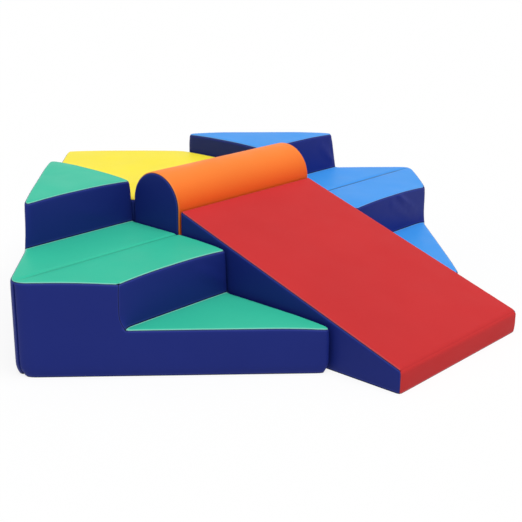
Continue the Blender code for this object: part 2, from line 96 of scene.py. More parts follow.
CORNER_PULL_REACH = 0.05
CORNER_FADE = 0.15
RISER_FADE = 0.018
TUCK = 0.018
TUCK_REACH = 0.05
TREAD_SWELL = 0.0012
SLIDE_SWELL = 0.004
PLATFORM_SWELL = 0.002
PLATFORM_DROP = 0.003
WALL_SWELL = 0.0022
HIDDEN_SWELL = 0.0003
SWELL_RUN = 0.14
WAVE = 0.0009
WAVE_SCALE = 5.0
FOLD_CREASE = 0.0042
FOLD_CREASE_RUN = 0.015
FOLD_CREASE_FADE = 0.07
FOLD_LINE_RUN = 0.0075
FOLD_LINE_FADE = 0.13
FOLD_BLEND = 0.012
FOLD_TUCK = 0.002
FOLD_TUCK_RUN = 0.004
FOLD_CLOSE_RUN = 0.02

# How full the padded pieces are, and seeds and places in the noise
COVER_FILL = 0.95
FOAM_FILL = 1.0
SEEDS = {"platform": 3.0, "slide": 5.0, "arch": 7.0, "green": 11.0, "blue": 17.0}
SEED_STEP = (7.1, 3.3, 5.7)
ARCH_NOISE_PLACE = (9.1, 2.3, 4.4)

# Spacing of points, with rows that close up towards a seam or crease
MERGE = 1e-5
TRIANGLE_TOLERANCE = 1e-6
TRIANGLES_INSIDE = 1
SPACING = 0.012
GRID_SPACING = 0.02
GRID_ROW_SHARE = 0.87
CLEAR_ROW_SHARE = 0.995
EDGE_ROWS = (0.0008, 0.0018, 0.0032, 0.005, 0.0075, 0.011, 0.0155, 0.021, 0.028, 0.037)
CREASE_ROWS = (0.0, 0.0015, 0.003, 0.005, 0.0075, 0.0105, 0.014, 0.019)
FOAM_SPACING = 0.05
FOAM_ROWS = (0.006, 0.016, 0.03)
ARCH_STEPS = 56
ARCH_LEG_STEPS = 14
ARCH_SPAN_STEPS = 26
ARCH_END_RINGS = 8
ARCH_LEAST_RADIUS = 0.001

# Finishes: ranges of noise, shades and roughness, and bumps as strength and height
NOISE_RANGE = (0.3, 0.7)
# Heights over which the painted light on the bolster's top comes in
TOP_LIGHT_HEIGHTS = (0.395, 0.49)
TONE_SCALE = 3.0
TONE_SHADES = (0.97, 1.03)
GLOSS_SCALE = 9.0
VINYL_ROUGHNESS = (0.45, 0.55)
VINYL_SPECULAR = 0.13
RED_SPECULAR = 0.04
GRAIN_SCALE = 650.0
GRAIN_BUMP = (0.12, 0.0004)
# Widths of the painted shade in seam grooves, wider on the navy, and how dark it is
GROOVE = 0.0014
NAVY_GROOVE = 0.0042
GROOVE_SHADE = 0.2
# Width of the painted highlight beside each seam, where the rounded edge catches the light
HIGHLIGHT_WIDTH = 0.006
# How dark the painted shade along the fold's crease is, on green and on blue
GREEN_FOLD_SHADE = 0.7
BLUE_FOLD_SHADE = 0.3
STUD_SCALE = 130.0
STUD_RIM = (0.15, 0.35)
STUD_SHADES = (0.85, 1.3)
STUD_BUMP = (0.8, 0.0008)
STUD_ROUGHNESS = 0.75
FIBRE_DETAIL = 6.0
FIBRE_SHADES = (0.7, 1.3)
FIBRE_BUMP = (0.6, 0.0006)
FIBRE_ROUGHNESS = 0.9
SCUFF_SCALE = 400.0
SCUFF_DETAIL = 4.0
SCUFF_SHADES = (0.85, 1.1)
METAL_ROUGHNESS = (0.22, 0.45)

# Stage
FLOOR_SIZE = 200.0
FLOOR_GREY = 0.8
FLOOR_ROUGHNESS = 0.9
FLOOR_GLOW = 1.05
FLOOR_GLOW_SHARE = 0.8
FILL_STRENGTH = 0.3
SUN_STRENGTH = 2.3
SUN_SPREAD = math.radians(60)
SUN_DIRECTION = (0.13, 0.31, -1.0)


def smooth(share):
    share = np.clip(share, 0, 1)
    return share * share * (3 - 2 * share)


def waves(points, scale, seed):
    offset = Vector([seed * step for step in SEED_STEP])
    return np.array([noise.noise(Vector(p) * scale + offset) for p in points])


# Faces and edges of the blocks

class Plane:
    def __init__(self, normal, offset):
        self.normal = Vector(normal).normalized()
        self.offset = offset

    def depth(self, points):
        """How far points lie behind this plane."""
        return self.offset - points @ np.array(self.normal)

    def behind(self, points):
        return np.clip(self.depth(points), 0, None)

    def inset(self, distance):
        return Plane(self.normal, self.offset - distance)


def reach(node, direction, above=-1.0):
    """How far a node's points go in a direction, counting only those above a height."""
    direction = Vector(direction).normalized()
    return max(direction.dot(v.co) for v in frame["nodes"][node].data.vertices if v.co.z > above)


def outer_plane(node, direction, above=-1.0):
    return Plane(direction, reach(node, direction, above))


def slope_normal(node):
    """The normal of the widest upward face of a node."""
    areas = {}
    for polygon in frame["nodes"][node].data.polygons:
        if polygon.normal.z > 0:
            key = tuple(round(c, 3) for c in polygon.normal)
            areas[key] = areas.get(key, 0) + polygon.area
    return Vector(max(areas, key=areas.get)).normalized()


def meeting(a, b, c):
    """The point that three planes share."""
    rows = np.array([a.normal, b.normal, c.normal])
    return Vector(np.linalg.solve(rows, [a.offset, b.offset, c.offset]))


def edge_drop(depth, radius, pinch):
    """How far a face sinks at a distance from a rounded edge, with the seam's own pinch."""
    angle = np.arctan(np.clip(radius - depth, 0, None) / radius)
    return radius * (1 - np.cos(angle)) + pinch * np.exp(-depth / SEAM_PINCH_RUN)


def edge_slide(depth, radius, pinch):
    """How far a point of a face moves in from a rounded edge."""
    angle = np.arctan(np.clip(radius - depth, 0, None) / radius)
    arc = np.where(depth < radius, radius * (1 - np.sin(angle)) - depth, 0)
    return arc + pinch * np.exp(-depth / SEAM_PINCH_RUN)


class Slab:
    """A top face with the sides that it meets in rounded edges."""

    def __init__(self, top, sides, riser=None, soft=()):
        self.top = top
        self.sides = sides
        self.riser = riser
        self.soft = soft

    def shift(self, points):
        below = self.top.depth(points)
        near = np.clip(below, 0, None)
        fade = (below < SLAB_REACH).astype(float)
        if self.riser is not None:
            fade *= smooth(-self.riser.depth(points) / RISER_FADE)
        moved = np.zeros_like(points)
        sunk = np.zeros(len(points))
        for side in self.sides:
            radius, pinch = (SLOPE_RADIUS, 0.0) if side in self.soft else (EDGE_RADIUS, SEAM_PINCH)
            behind = side.behind(points)
            full = edge_drop(np.zeros(1), radius, pinch)[0]
            slid = edge_slide(behind, radius, pinch) * edge_drop(near, radius, pinch) / full
            moved -= np.outer(slid * fade, side.normal)
            dropped = edge_slide(near, radius, pinch) * edge_drop(behind, radius, pinch) / full
            sunk = np.maximum(sunk, dropped)
        return moved - np.outer(sunk * fade, self.top.normal)


class Post:
    """A vertical corner of a block, which its cover rounds off, from a foot height up."""

    def __init__(self, place, outward, retreat, run, foot=None, seam=False):
        self.place = np.array(place[:2])
        self.outward = np.array(outward)
        self.retreat = retreat
        self.run = run
        self.foot = foot
        self.seam = seam
        self.foot_draw = FOOT_DRAW

    def shift(self, points):
        away = np.linalg.norm(points[:, :2] - self.place, axis=1)
        near = np.clip(1 - away / self.run, 0, 1)
        drawn = self.retreat * near ** 2
        if self.seam:
            drawn = drawn + SEAM_PINCH * np.exp(-away / SEAM_PINCH_RUN)
        if self.foot is not None:
            drawn = drawn * np.clip((points[:, 2] - self.foot) / CORNER_FADE, 0, 1)
        else:
            low = np.clip(1 - points[:, 2] / FOOT_RUN, 0, 1) * np.clip(1 - away / FOOT_REACH, 0, 1)
            drawn = drawn + self.foot_draw * low ** 2
        return -np.outer(drawn, self.outward)


def corner_post(place, a, b, radius, foot=None, seam=False):
    """A post for the edge between two walls, whose rounding touches both of them."""
    outward = (a.normal + b.normal).normalized()
    half = math.pi / 2 - a.normal.angle(b.normal) / 2
    retreat = radius * (1 / math.sin(half) - 1)
    return Post(place, outward, retreat, 2 * retreat / math.cos(half), foot, seam)


def foot_shift(points, sides, draws):
    """The foot of each side, drawn in under the block."""
    moved = np.zeros_like(points)
    low = np.clip(1 - points[:, 2] / HEM_RUN, 0, 1) ** 2
    for side, draw in zip(sides, draws):
        near = np.clip(1 - side.behind(points) / HEM_RUN, 0, 1) ** 2
        moved -= np.outer(draw * low * near, side.normal)
    return moved


def crease_share(away, along, run, fade):
    """How strong a crease is at a distance from it, and along it from its outer end."""
    return smooth(1 - away / run) * smooth(along / fade)


def crease_depth(away, along):
    """How deep the crease is there."""
    return FOLD_CREASE * crease_share(away, along, FOLD_CREASE_RUN, FOLD_CREASE_FADE)


def corner_shift(points, corners, middle, drop):
    """The cover's top corners, which the foam doesn't fill, sag and pull in a little."""
    moved = np.zeros_like(points)
    for corner in corners:
        place = np.array(corner)
        away = np.linalg.norm(points - place, axis=1)
        moved[:, 2] -= drop * np.clip(1 - away / CORNER_DROP_REACH, 0, 1) ** 2
        inward = np.array(middle)[:2] - place[:2]
        inward /= np.linalg.norm(inward)
        pull = CORNER_PULL * np.clip(1 - away / CORNER_PULL_REACH, 0, 1) ** 2
        moved[:, :2] += np.outer(pull, inward)
    return moved


# Tessellation

def segment_distance(points, a, b):
    """Each point's distance to a segment, and where along it."""
    along = b - a
    share = np.clip(((points - a) @ along) / (along @ along), 0, 1)
    return np.linalg.norm(points - a - np.outer(share, along), axis=1), share


def loop_distance(points, loop):
    edges = zip(loop, np.roll(loop, -1, axis=0))
    return np.min([segment_distance(points, a, b)[0] for a, b in edges], axis=0)


def inside(points, loop):
    """Which points lie inside a loop."""
    crossings = np.zeros(len(points), int)
    for a, b in zip(loop, np.roll(loop, -1, axis=0)):
        if a[1] == b[1]:
            continue
        spans = (a[1] > points[:, 1]) != (b[1] > points[:, 1])
        x = (b[0] - a[0]) * (points[:, 1] - a[1]) / (b[1] - a[1]) + a[0]
        crossings += spans & (points[:, 0] < x)
    return crossings % 2 == 1


def edge_points(loop, spacing, rows):
    """Points on a loop, and rows of points beside each of its edges."""
    boundary = []
    beside = []
    for a, b in zip(loop, np.roll(loop, -1, axis=0)):
        length = np.linalg.norm(b - a)
        count = max(1, math.ceil(length / spacing))
        shares = np.arange(count) / count
        boundary.append(a + np.outer(shares, b - a))
        along = (b - a) / length
        inward = np.array((-along[1], along[0]))
        for number, row in enumerate(rows):
            places = (shares[1:], shares + 0.5 / count)[number % 2]
            line = a + np.outer(places, b - a) + inward * row
            clear = loop_distance(line, loop) > row * CLEAR_ROW_SHARE
            beside.append(line[clear & inside(line, loop)])
    return np.concatenate(boundary), np.concatenate(beside)


def row_span(loop, start, along, across):
    """Where a straight row enters and leaves a loop."""
    found = []
    for a, b in zip(loop, np.roll(loop, -1, axis=0)):
        off_a, off_b = (a - start) @ across, (b - start) @ across
        if off_a != off_b and off_a * off_b <= 0:
            found.append((a + (b - a) * off_a / (off_a - off_b) - start) @ along)
    return min(found), max(found)


def crease_points(loop, a, b, spacing):
    """Rows of points along both sides of a crease, which close up towards the rims."""
    along = (b - a) / np.linalg.norm(b - a)
    across = np.array((-along[1], along[0]))
    near = np.array(EDGE_ROWS)
    made = []
    for offset in sorted({sign * row for row in CREASE_ROWS for sign in (1, -1)}):
        start = a + across * offset
        low, high = row_span(loop, start, along, across)
        count = math.ceil((high - low - 2 * near[-1]) / spacing)
        middle = np.linspace(low + near[-1], high - near[-1], count + 1)[1:-1]
        made.append(start + np.outer(np.concatenate((low + near, middle, high - near)), along))
    made = np.concatenate(made)
    return made[(loop_distance(made, loop) > EDGE_ROWS[0] / 2) & inside(made, loop)]


def tessellate(loop, spacing, rows, crease=None):
    """Points and triangles over a flat loop."""
    boundary, beside = edge_points(loop, spacing, rows)
    grid_step = max(spacing, GRID_SPACING)
    low, high = loop.min(axis=0), loop.max(axis=0)
    grid = []
    for j, y in enumerate(np.arange(low[1], high[1], grid_step * GRID_ROW_SHARE)):
        xs = np.arange(low[0] + grid_step * (j % 2) / 2, high[0], grid_step)
        grid.append(np.column_stack((xs, np.full(len(xs), y))))
    grid = np.concatenate(grid)
    grid = grid[(loop_distance(grid, loop) > rows[-1] + spacing / 2) & inside(grid, loop)]
    extra = np.zeros((0, 2))
    if crease is not None:
        grid = grid[segment_distance(grid, *crease)[0] > CREASE_ROWS[-1] + spacing / 2]
        beside = beside[segment_distance(beside, *crease)[0] > CREASE_ROWS[-1]]
        extra = crease_points(loop, *crease, spacing)
    points = np.concatenate([boundary, beside, grid, extra])
    ring = list(range(len(boundary)))
    points = [Vector(p) for p in points]
    found = geometry.delaunay_2d_cdt(points, [], [ring], TRIANGLES_INSIDE, TRIANGLE_TOLERANCE)
    return np.array([tuple(p) for p in found[0]]), [tuple(f) for f in found[2]]


def seamed_mesh(name, parts):
    """A smooth mesh through parts that meet, which keeps each point's distance to its seam."""
    bm = bmesh.new()
    layer = bm.verts.layers.float.new("seam_distance")
    for points, faces, distances in parts:
        made = [bm.verts.new(p) for p in points]
        for vertex, distance in zip(made, distances):
            vertex[layer] = distance
        for face in faces:
            bm.faces.new([made[i] for i in face])
    bmesh.ops.remove_doubles(bm, verts=bm.verts, dist=MERGE)
    mesh = bpy.data.meshes.new(name)
    bm.to_mesh(mesh)
    bm.free()
    mesh.shade_smooth()
    return mesh


class Block:
    """A foam block: its faces by name, and how its cover rounds, pulls and swells."""

    def __init__(self, name, faces, walls, slabs, posts, corners, seed):
        self.name = name
        self.faces = faces
        self.walls = walls
        self.draws = [HEM_DRAW] * len(walls)
        self.slabs = slabs
        self.posts = posts
        self.corners = corners
        self.seed = seed
        points = [point for loop in faces.values() for point in loop]
        self.middle = sum(points, Vector()) / len(points)
        self.swells = {}
        self.pleats = {}
        self.tucks = []
        self.turns = []
        self.notch = None
        self.drop = CORNER_DROP

    def field(self, points, notched=True):
        """How far each point of the block's faces moves, swell and pleats apart."""
        moved = np.zeros_like(points)
        for slab in self.slabs:
            moved += slab.shift(points)
        moved += foot_shift(points, self.walls, self.draws)
        for post in self.posts:
            moved += post.shift(points)
        for place, direction in self.tucks:
            away = np.linalg.norm(points - np.array(place), axis=1)
            moved += np.outer(TUCK * np.clip(1 - away / TUCK_REACH, 0, 1) ** 2, direction)
        if notched and self.notch is not None:
            moved += self.notch(points)
        return moved + corner_shift(points, self.corners, self.middle, self.drop)

    def stitched(self, a, b):
        """Whether two corners have a seam between them. Cloth turns over the other edges."""
        upright = (a - b).xy.length < MERGE
        if upright:
            return any(p.seam and (a.xy - Vector(p.place)).length < MERGE for p in self.posts)
        return not (a in self.turns and b in self.turns)

    def seam_distance(self, corners, flat, loop):
        """The distance to the nearest seam. Upright seams are finer, so theirs count for more."""
        found = np.ones(len(flat))
        for i, j in zip(range(len(loop)), np.roll(range(len(loop)), -1)):
            if self.stitched(corners[i], corners[j]):
                scale = UPRIGHT_SEAM_SCALE if (corners[i] - corners[j]).xy.length < MERGE else 1
                found = np.minimum(found, segment_distance(flat, loop[i], loop[j])[0] * scale)
        return found

    def stand(self, name, points, edge):
        """How far each point of a face stands off its plane."""
        swell = self.swells.get(name, WALL_SWELL)
        high = swell * (1 - np.clip(1 - edge / SWELL_RUN, 0, 1) ** 2)
        if swell > HIDDEN_SWELL:
            high += WAVE * waves(points, WAVE_SCALE, self.seed) * smooth(edge / SWELL_RUN)
            pucker = waves(points, PUCKER_SCALE, self.seed + 1) * np.exp(-edge / PUCKER_RUN)
            high += PUCKER_DEPTH * pucker * smooth(edge / PUCKER_START)
        for start, end, width, height in self.pleats.get(name, ()):
            away, share = segment_distance(points[:, (0, 2)], np.array(start), np.array(end))
            high += height * np.exp(-(away / width) ** 2) * np.sqrt(np.sin(np.pi * share))
        return high

    def face_points(self, name, corners, spacing=SPACING, rows=EDGE_ROWS, crease=None):
        """One face's points before and after they move, its triangles and its seam distances."""
        normal = geometry.normal(corners)
        across = (corners[1] - corners[0]).normalized()
        up = normal.cross(across)
        origin = corners[0]

        def flatten(point):
            return np.array(((point - origin).dot(across), (point - origin).dot(up)))

        loop = np.array([flatten(c) for c in corners])
        flat_crease = [flatten(c) for c in crease] if crease else None
        flat, triangles = tessellate(loop, spacing, rows, flat_crease)
        points = np.array(origin) + np.outer(flat[:, 0], across) + np.outer(flat[:, 1], up)
        stand = self.stand(name, points, loop_distance(flat, loop))
        if crease:
            away, share = segment_distance(flat, *flat_crease)
            stand -= crease_depth(away, share * (crease[1] - crease[0]).length)
        moved = points + self.field(points, notched=not crease) + np.outer(stand, normal)
        return points, moved, triangles, self.seam_distance(corners, flat, loop)

    def parts(self, names, spacing=SPACING, rows=EDGE_ROWS, lift=HEM_LIFT):
        """The named faces, with no point lower than a height."""
        made = []
        for name in names:
            corners = self.faces[name]
            _, points, triangles, distances = self.face_points(name, corners, spacing, rows)
            points[:, 2] = np.maximum(points[:, 2], lift)
            made.append((points, triangles, distances))
        return made

    def foam_parts(self):
        """All the faces of a block that is a foam core, with no swell or pleats."""
        self.swells = dict.fromkeys(self.faces, 0.0)
        self.pleats = {}
        return self.parts(self.faces, FOAM_SPACING, FOAM_ROWS, FOAM_INSET)


# Materials

def new_material(name):
    material = bpy.data.materials.new(name + "_finish")
    material.use_nodes = True
    tree = material.node_tree
    return material, tree.nodes, tree.links, tree.nodes["Principled BSDF"]


def ranged(nodes, links, value, from_range, to_range):
    """A value mapped from one range to another."""
    node = nodes.new("ShaderNodeMapRange")
    node.inputs["From Min"].default_value, node.inputs["From Max"].default_value = from_range
    node.inputs["To Min"].default_value, node.inputs["To Max"].default_value = to_range
    links.new(value, node.inputs["Value"])
    return node.outputs["Result"]


def object_place(nodes):
    return nodes.new("ShaderNodeTexCoord").outputs["Object"]


def attribute(nodes, name):
    node = nodes.new("ShaderNodeAttribute")
    node.attribute_name = name
    return node.outputs["Fac"]


def noised(nodes, links, scale, detail=3.0):
    node = nodes.new("ShaderNodeTexNoise")
    node.inputs["Scale"].default_value = scale
    node.inputs["Detail"].default_value = detail
    links.new(object_place(nodes), node.inputs["Vector"])
    return node.outputs["Fac"]


def celled(nodes, links, scale, feature="F1", randomness=1.0):
    """The distance to the middle of the nearest cell."""
    node = nodes.new("ShaderNodeTexVoronoi")
    node.feature = feature
    node.inputs["Scale"].default_value = scale
    node.inputs["Randomness"].default_value = randomness
    links.new(object_place(nodes), node.inputs["Vector"])
    return node.outputs["Distance"]


def give(links, socket, value):
    """Sets a number or a plain colour, or links one that comes from a node."""
    if isinstance(value, bpy.types.NodeSocket):
        links.new(value, socket)
    elif isinstance(value, tuple):
        socket.default_value = (*value, 1.0)
    else:
        socket.default_value = value


def combined(nodes, links, operation, a, b):
    node = nodes.new("ShaderNodeMath")
    node.operation = operation
    give(links, node.inputs[0], a)
    give(links, node.inputs[1], b)
    return node.outputs["Value"]


def tinted(nodes, links, colour, value):
    """A colour with its brightness from a value."""
    node = nodes.new("ShaderNodeHueSaturation")
    give(links, node.inputs["Color"], colour)
    links.new(value, node.inputs["Value"])
    return node.outputs["Color"]


def blended(nodes, links, share, a, b):
    node = nodes.new("ShaderNodeMix")
    node.data_type = "RGBA"
    links.new(share, node.inputs["Factor"])
    give(links, node.inputs["A"], a)
    give(links, node.inputs["B"], b)
    return node.outputs["Result"]


def painted_top_light(nodes, links, colour, top):
    """A colour that turns to a lighter one towards the top of the bolster: painted light where the
    lamp falls.
    """
    split = nodes.new("ShaderNodeSeparateXYZ")
    links.new(object_place(nodes), split.inputs["Vector"])
    share = ranged(nodes, links, split.outputs["Z"], TOP_LIGHT_HEIGHTS, (0.0, 1.0))
    return blended(nodes, links, share, colour, top)


def bumped(nodes, links, height, bump):
    node = nodes.new("ShaderNodeBump")
    node.inputs["Strength"].default_value, node.inputs["Distance"].default_value = bump
    links.new(height, node.inputs["Height"])
    return node.outputs["Normal"]


def vinyl(name, colour, edge, top=None, groove=GROOVE, specular=VINYL_SPECULAR, fold_shade=1.0):
    """Coated fabric: leather grain, slow changes of tone and gloss, painted shade along a fold's
    crease, painted shade in the seams' grooves with a painted highlight beside them, and painted
    top light if given."""
    material, nodes, links, shader = new_material(name)
    shader.inputs["Specular IOR Level"].default_value = specular
    # Painted light: lighter towards the top, where the lamp falls
    if top:
        colour = painted_top_light(nodes, links, colour, top)
    tone = ranged(nodes, links, noised(nodes, links, TONE_SCALE), NOISE_RANGE, TONE_SHADES)
    seam = attribute(nodes, "seam_distance")
    # Painted highlight: the lighter edge colour beside each seam, where the rounded edge catches
    # the light
    edge_highlight = ranged(nodes, links, seam, (groove, groove + HIGHLIGHT_WIDTH), (1.0, 0.0))
    # Painted shade: darker in the seam's groove, where shade falls
    dark = ranged(nodes, links, seam, (groove / 2, groove), (GROOVE_SHADE, 1.0))
    value = combined(nodes, links, "MULTIPLY", tone, dark)
    # Painted shade along the fold's crease
    if fold_shade < 1:
        fold = ranged(nodes, links, attribute(nodes, "fold_line"), (0.0, 1.0), (1.0, fold_shade))
        value = combined(nodes, links, "MULTIPLY", value, fold)
    finish = blended(nodes, links, edge_highlight, colour, edge)
    links.new(tinted(nodes, links, finish, value), shader.inputs["Base Color"])
    gloss = ranged(nodes, links, noised(nodes, links, GLOSS_SCALE), NOISE_RANGE, VINYL_ROUGHNESS)
    links.new(gloss, shader.inputs["Roughness"])
    grain = celled(nodes, links, GRAIN_SCALE, feature="SMOOTH_F1")
    links.new(bumped(nodes, links, grain, GRAIN_BUMP), shader.inputs["Normal"])
    return material


def studded(name, colour):
    """Non-slip base fabric with rows of raised dots."""
    material, nodes, links, shader = new_material(name)
    shader.inputs["Roughness"].default_value = STUD_ROUGHNESS
    away = celled(nodes, links, STUD_SCALE, randomness=0.0)
    dome = ranged(nodes, links, away, STUD_RIM, (1.0, 0.0))
    shade = ranged(nodes, links, dome, (0.0, 1.0), STUD_SHADES)
    links.new(tinted(nodes, links, colour, shade), shader.inputs["Base Color"])
    links.new(bumped(nodes, links, dome, STUD_BUMP), shader.inputs["Normal"])
    return material


def cloth(name, colour, scale):
    """Pile, webbing or open foam, by the scale of its fibres or cells."""
    material, nodes, links, shader = new_material(name)
    shader.inputs["Roughness"].default_value = FIBRE_ROUGHNESS
    fibre = noised(nodes, links, scale, FIBRE_DETAIL)
    shade = ranged(nodes, links, fibre, NOISE_RANGE, FIBRE_SHADES)
    links.new(tinted(nodes, links, colour, shade), shader.inputs["Base Color"])
    links.new(bumped(nodes, links, fibre, FIBRE_BUMP), shader.inputs["Normal"])
    return material


def metal(name, colour):
    """Plated metal, scuffed in tone and gloss."""
    material, nodes, links, shader = new_material(name)
    shader.inputs["Metallic"].default_value = 1.0
    scuff = noised(nodes, links, SCUFF_SCALE, SCUFF_DETAIL)
    shade = ranged(nodes, links, scuff, NOISE_RANGE, SCUFF_SHADES)
    links.new(tinted(nodes, links, colour, shade), shader.inputs["Base Color"])
    links.new(ranged(nodes, links, scuff, NOISE_RANGE, METAL_ROUGHNESS), shader.inputs["Roughness"])
    return material


# Each vinyl's second colour is the painted highlight beside its seams
MATERIALS = {
    "green_vinyl": vinyl("green_vinyl", (0.038, 0.53, 0.345), (0.32, 0.74, 0.64),
                         fold_shade=GREEN_FOLD_SHADE),
    "blue_vinyl": vinyl("blue_vinyl", (0.05, 0.325, 0.87), (0.2, 0.43, 0.93),
                        fold_shade=BLUE_FOLD_SHADE),
    "yellow_vinyl": vinyl("yellow_vinyl", (0.97, 0.82, 0.04), (0.97, 0.86, 0.16)),
    # The orange's top colour is painted light on the bolster's top
    "orange_vinyl": vinyl("orange_vinyl", (0.97, 0.135, 0.014), (0.97, 0.30, 0.09),
                          top=(0.97, 0.255, 0.04)),
    "red_vinyl": vinyl("red_vinyl", (0.59, 0.036, 0.038), (0.68, 0.12, 0.13),
                       specular=RED_SPECULAR),
    "navy_vinyl": vinyl("navy_vinyl", (0.0125, 0.025, 0.21), (0.028, 0.045, 0.27),
                        groove=NAVY_GROOVE),
    "base_vinyl": studded("base_vinyl", (0.012, 0.015, 0.04)),
    "foam": cloth("foam", (0.72, 0.69, 0.6), 500.0),
    "hook_tape": cloth("hook_tape", (0.01, 0.01, 0.015), 1200.0),
    "loop_tape": cloth("loop_tape", (0.02, 0.02, 0.03), 700.0),
    "zip_tape": cloth("zip_tape", (0.01, 0.015, 0.05), 1500.0),
    "zip_metal": metal("zip_metal", (0.5, 0.5, 0.51)),
}


# Pieces

def add_object(name, data):
    made = bpy.data.objects.new(name, data)
    bpy.context.scene.collection.objects.link(made)
    return made


def thickened(name, mesh):
    """A piece of vinyl of its full thickness, with its outer side on the mesh."""
    piece = add_object(name, mesh)
    wall = piece.modifiers.new("vinyl", "SOLIDIFY")
    wall.thickness = VINYL_THICKNESS
    wall.offset = -1
    graph = bpy.context.evaluated_depsgraph_get()
    whole = bpy.data.meshes.new_from_object(piece.evaluated_get(graph))
    piece.modifiers.clear()
    piece.data = whole
    return piece


def dress(piece, slot, body, fill, *nodes):
    """Gives a new piece its finish and its body, and hides the nodes that it stands for."""
    piece.data.materials.clear()
    piece.data.materials.append(MATERIALS[slot])
    if body:
        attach(piece, body)
    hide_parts(*nodes)


def add_panel(block, node, faces, slot):
    """A cover over some of a block's faces. Only a base lies on the floor."""
    name = node + "_vinyl"
    lift = 0.0 if faces == ["base"] else HEM_LIFT
    piece = thickened(name, seamed_mesh(name, block.parts(faces, lift=lift)))
    for vertex in piece.data.vertices:
        vertex.co.z = max(vertex.co.z, 0.0)
    dress(piece, slot, block.name, COVER_FILL, node)


def add_foam(body, parts):
    name = body + "_foam_block"
    piece = add_object(name, seamed_mesh(name, parts))
    dress(piece, "foam", body, FOAM_FILL, body + "_foam_core")


# Stairs

def stair_planes(prefix, tread, side, end):
    """The planes of half a stair, by the names of their faces."""
    cover = prefix + "_side_cover"
    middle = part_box(prefix + "_middle_tread")[1].z
    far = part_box(tread)[1].z
    return {
        "base": Plane((0, 0, -1), 0.0),
        "middle": Plane((0, 0, 1), middle),
        "far": Plane((0, 0, 1), far),
        "inner": outer_plane(cover, (-side, 0, 0)),
        "outer": outer_plane(cover, (side, end, 0)),
        "fold": outer_plane(cover, (0, -end, 0)),
        "riser": outer_plane(cover, (0, -1, 0), above=min(middle, far) + RISER_FADE),
    }


def fold_notch(place, end, fold):
    """The walls at the fold: they dip with the tread's crease, meet at the top, and turn away from
    each other a little at the outer end below it."""
    top = place.z

    def shift(points):
        off_fold = np.abs(points[:, 1] - fold)
        high = 1 - smooth((top - points[:, 2]) / FOLD_CLOSE_RUN)
        closed = abs(place.y - fold) * high * np.clip(1 - off_fold / FOLD_CREASE_RUN, 0, 1)
        crease = crease_depth(off_fold - closed, np.abs(points[:, 0] - place.x))
        tuck = FOLD_TUCK * np.clip(1 - off_fold / FOLD_TUCK_RUN, 0, 1)
        away = np.linalg.norm(points[:, :2] - np.array(place[:2]), axis=1)
        notch = APEX_NOTCH * np.clip(1 - away / (2 * APEX_RETREAT), 0, 1) ** 2 * (1 - high)
        return np.outer(notch - closed, (0, end, 0)) - np.outer((crease + tuck) * high, (0, 0, 1))
    return shift


def stair_block(colour, side, end, seed, inset=0.0):
    """Half a stair. Side 1 is +X, and end 1 is the rear half."""
    prefix = colour + ("_rear" if end == 1 else "_front")
    tread = prefix + ("_high_tread" if end == 1 else "_low_tread")
    plane = {name: p.inset(inset) for name, p in stair_planes(prefix, tread, side, end).items()}

    def at(*names):
        return meeting(*(plane[n] for n in names))

    inner_fold = [at("inner", "fold", n) for n in ("base", "middle")]
    outer_fold = [at("outer", "fold", n) for n in ("base", "middle")]
    tip = [at("inner", "outer", n) for n in ("base", "far")]
    inner_riser = [at("inner", "riser", n) for n in ("middle", "far")]
    outer_riser = [at("outer", "riser", n) for n in ("middle", "far")]
    faces = {
        "base": [inner_fold[0], tip[0], outer_fold[0]],
        "middle": [inner_fold[1], outer_fold[1], outer_riser[0], inner_riser[0]],
        "far": [inner_riser[1], outer_riser[1], tip[1]],
        "riser": [inner_riser[0], outer_riser[0], outer_riser[1], inner_riser[1]],
        "inner": [tip[0], inner_fold[0], inner_fold[1], inner_riser[0], inner_riser[1], tip[1]],
        "outer": [outer_fold[0], tip[0], tip[1], outer_riser[1], outer_riser[0], outer_fold[1]],
        "fold": [inner_fold[0], outer_fold[0], outer_fold[1], inner_fold[1]],
    }
    if side * end < 0:
        faces = {name: loop[::-1] for name, loop in faces.items()}
    middle, far = plane["middle"].offset, plane["far"].offset
    riser_foot = min(middle, far)
    riser_radius = ACUTE_RADIUS if end == 1 else BLUNT_RADIUS
    inner, outer, riser = plane["inner"], plane["outer"], plane["riser"]
    posts = [
        corner_post(tip[0], inner, outer, ACUTE_RADIUS),
        Post(outer_fold[0], (side, 0, 0), APEX_RETREAT, 2 * APEX_RETREAT * math.sqrt(2)),
        corner_post(inner_riser[0], inner, riser, SQUARE_RADIUS, riser_foot),
        corner_post(outer_riser[0], outer, riser, riser_radius, riser_foot, seam=end == -1),
    ]
    rims = [inner, outer]
    upper, lower = (plane["far"], plane["middle"]) if end == 1 else (plane["middle"], plane["far"])
    slabs = [Slab(upper, rims + [riser]), Slab(lower, rims, riser)]
    top = 1 if end == 1 else 0
    corners = [inner_riser[top], outer_riser[top], tip[1]]
    walls = rims + [plane["fold"]]
    block = Block(prefix, faces, walls, slabs, posts, corners, seed)
    block.tread = tread
    fold = sum(corner.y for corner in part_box(colour + "_fold_tape")) / 2
    block.notch = fold_notch(outer_fold[1], end, fold)
    block.swells = dict.fromkeys(("middle", "far", "both"), TREAD_SWELL)
    block.swells |= {"inner": HIDDEN_SWELL, "fold": HIDDEN_SWELL, "base": 0.0}
    if end == -1:
        block.tucks = [(outer_riser[1], (tip[1] - outer_riser[1]).normalized())]
    block.rim = (inner_riser[0], outer_riser[0], outer_fold[1], inner_fold[1])
    return block


